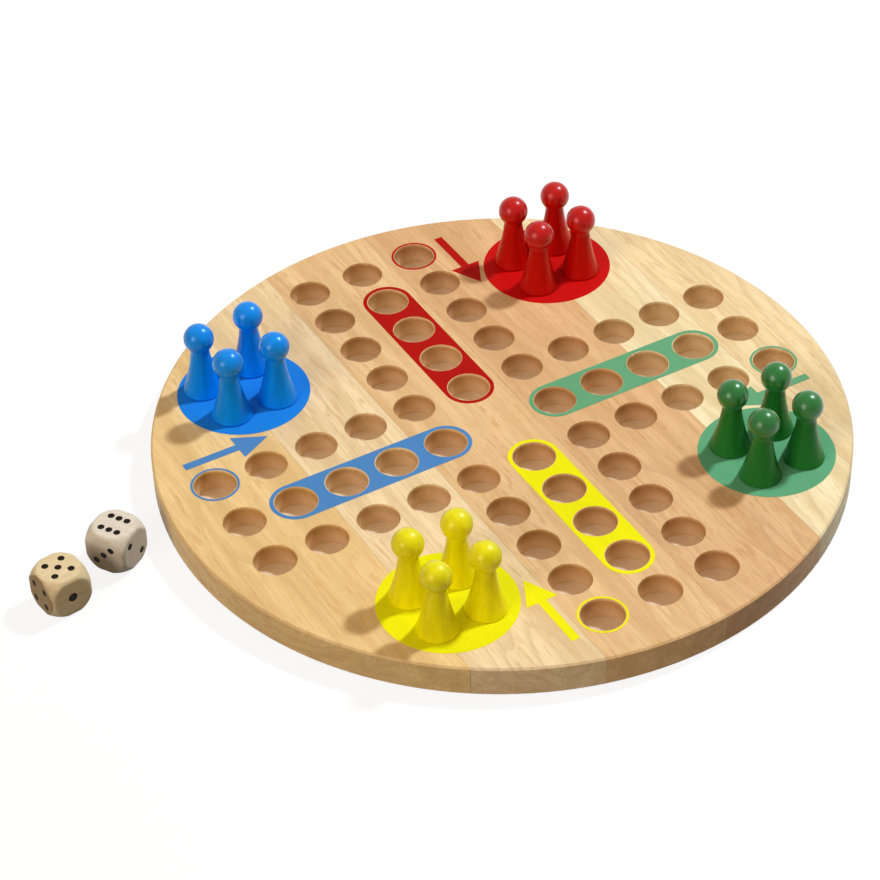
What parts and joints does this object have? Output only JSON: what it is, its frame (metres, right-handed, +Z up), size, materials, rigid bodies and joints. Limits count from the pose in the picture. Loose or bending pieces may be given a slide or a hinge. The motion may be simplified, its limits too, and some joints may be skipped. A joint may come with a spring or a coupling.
{
  "type": "wooden ludo board",
  "caption": "Round glued-up wooden ludo board with blind peg holes for the track, colour-printed houses, home strips, start rings and arrows, turned pawns and a pair of wooden dice.",
  "frame": {"origin": "centre of the round board's underside, on the table", "axes": "+Z up out of the top face; +Y along the red arm, +X along the green arm, so the blue arm is -X and the yellow arm -Y"},
  "size_m": [0.3023, 0.25, 0.0408],
  "materials": {
    "board_wood": "satin",
    "die_wood": "satin",
    "pip_paint": "satin",
    "red_ink": "matte",
    "red_lacquer": "gloss",
    "blue_ink": "matte",
    "blue_lacquer": "gloss",
    "yellow_ink": "matte",
    "yellow_lacquer": "gloss",
    "green_ink": "matte",
    "green_lacquer": "gloss"
  },
  "bodies": {
    "board": {"board_stave_1": "board_wood", "board_stave_2": "board_wood", "board_stave_3": "board_wood", "board_stave_4": "board_wood", "board_stave_5": "board_wood", "board_stave_6": "board_wood", "red_house_print": "red_ink", "red_start_print": "red_ink", "red_home_print": "red_ink", "red_arrow_print": "red_ink", "blue_house_print": "blue_ink", "blue_start_print": "blue_ink", "blue_home_print": "blue_ink", "blue_arrow_print": "blue_ink", "yellow_house_print": "yellow_ink", "yellow_start_print": "yellow_ink", "yellow_home_print": "yellow_ink", "yellow_arrow_print": "yellow_ink", "green_house_print": "green_ink", "green_start_print": "green_ink", "green_home_print": "green_ink", "green_arrow_print": "green_ink"},
    "red_pawn_1": {"red_pawn_1": "red_lacquer"},
    "red_pawn_2": {"red_pawn_2": "red_lacquer"},
    "red_pawn_3": {"red_pawn_3": "red_lacquer"},
    "red_pawn_4": {"red_pawn_4": "red_lacquer"},
    "blue_pawn_1": {"blue_pawn_1": "blue_lacquer"},
    "blue_pawn_2": {"blue_pawn_2": "blue_lacquer"},
    "blue_pawn_3": {"blue_pawn_3": "blue_lacquer"},
    "blue_pawn_4": {"blue_pawn_4": "blue_lacquer"},
    "yellow_pawn_1": {"yellow_pawn_1": "yellow_lacquer"},
    "yellow_pawn_2": {"yellow_pawn_2": "yellow_lacquer"},
    "yellow_pawn_3": {"yellow_pawn_3": "yellow_lacquer"},
    "yellow_pawn_4": {"yellow_pawn_4": "yellow_lacquer"},
    "green_pawn_1": {"green_pawn_1": "green_lacquer"},
    "green_pawn_2": {"green_pawn_2": "green_lacquer"},
    "green_pawn_3": {"green_pawn_3": "green_lacquer"},
    "green_pawn_4": {"green_pawn_4": "green_lacquer"},
    "near_die": {"near_die": "die_wood"},
    "far_die": {"far_die": "die_wood"}
  },
  "joints": [
    {"name": "red_pawn_1_lift", "type": "slide", "parent": "board", "child": "red_pawn_1", "axis": [0, 0, 1], "range_m": [0, 0.05]},
    {"name": "red_pawn_2_lift", "type": "slide", "parent": "board", "child": "red_pawn_2", "axis": [0, 0, 1], "range_m": [0, 0.05]},
    {"name": "red_pawn_3_lift", "type": "slide", "parent": "board", "child": "red_pawn_3", "axis": [0, 0, 1], "range_m": [0, 0.05]},
    {"name": "red_pawn_4_lift", "type": "slide", "parent": "board", "child": "red_pawn_4", "axis": [0, 0, 1], "range_m": [0, 0.05]},
    {"name": "blue_pawn_1_lift", "type": "slide", "parent": "board", "child": "blue_pawn_1", "axis": [0, 0, 1], "range_m": [0, 0.05]},
    {"name": "blue_pawn_2_lift", "type": "slide", "parent": "board", "child": "blue_pawn_2", "axis": [0, 0, 1], "range_m": [0, 0.05]},
    {"name": "blue_pawn_3_lift", "type": "slide", "parent": "board", "child": "blue_pawn_3", "axis": [0, 0, 1], "range_m": [0, 0.05]},
    {"name": "blue_pawn_4_lift", "type": "slide", "parent": "board", "child": "blue_pawn_4", "axis": [0, 0, 1], "range_m": [0, 0.05]},
    {"name": "yellow_pawn_1_lift", "type": "slide", "parent": "board", "child": "yellow_pawn_1", "axis": [0, 0, 1], "range_m": [0, 0.05]},
    {"name": "yellow_pawn_2_lift", "type": "slide", "parent": "board", "child": "yellow_pawn_2", "axis": [0, 0, 1], "range_m": [0, 0.05]},
    {"name": "yellow_pawn_3_lift", "type": "slide", "parent": "board", "child": "yellow_pawn_3", "axis": [0, 0, 1], "range_m": [0, 0.05]},
    {"name": "yellow_pawn_4_lift", "type": "slide", "parent": "board", "child": "yellow_pawn_4", "axis": [0, 0, 1], "range_m": [0, 0.05]},
    {"name": "green_pawn_1_lift", "type": "slide", "parent": "board", "child": "green_pawn_1", "axis": [0, 0, 1], "range_m": [0, 0.05]},
    {"name": "green_pawn_2_lift", "type": "slide", "parent": "board", "child": "green_pawn_2", "axis": [0, 0, 1], "range_m": [0, 0.05]},
    {"name": "green_pawn_3_lift", "type": "slide", "parent": "board", "child": "green_pawn_3", "axis": [0, 0, 1], "range_m": [0, 0.05]},
    {"name": "green_pawn_4_lift", "type": "slide", "parent": "board", "child": "green_pawn_4", "axis": [0, 0, 1], "range_m": [0, 0.05]},
    {"name": "near_die_lift", "type": "slide", "parent": "board", "child": "near_die", "axis": [0, 0, 1], "range_m": [0, 0.05]},
    {"name": "far_die_lift", "type": "slide", "parent": "board", "child": "far_die", "axis": [0, 0, 1], "range_m": [0, 0.05]}
  ]
}
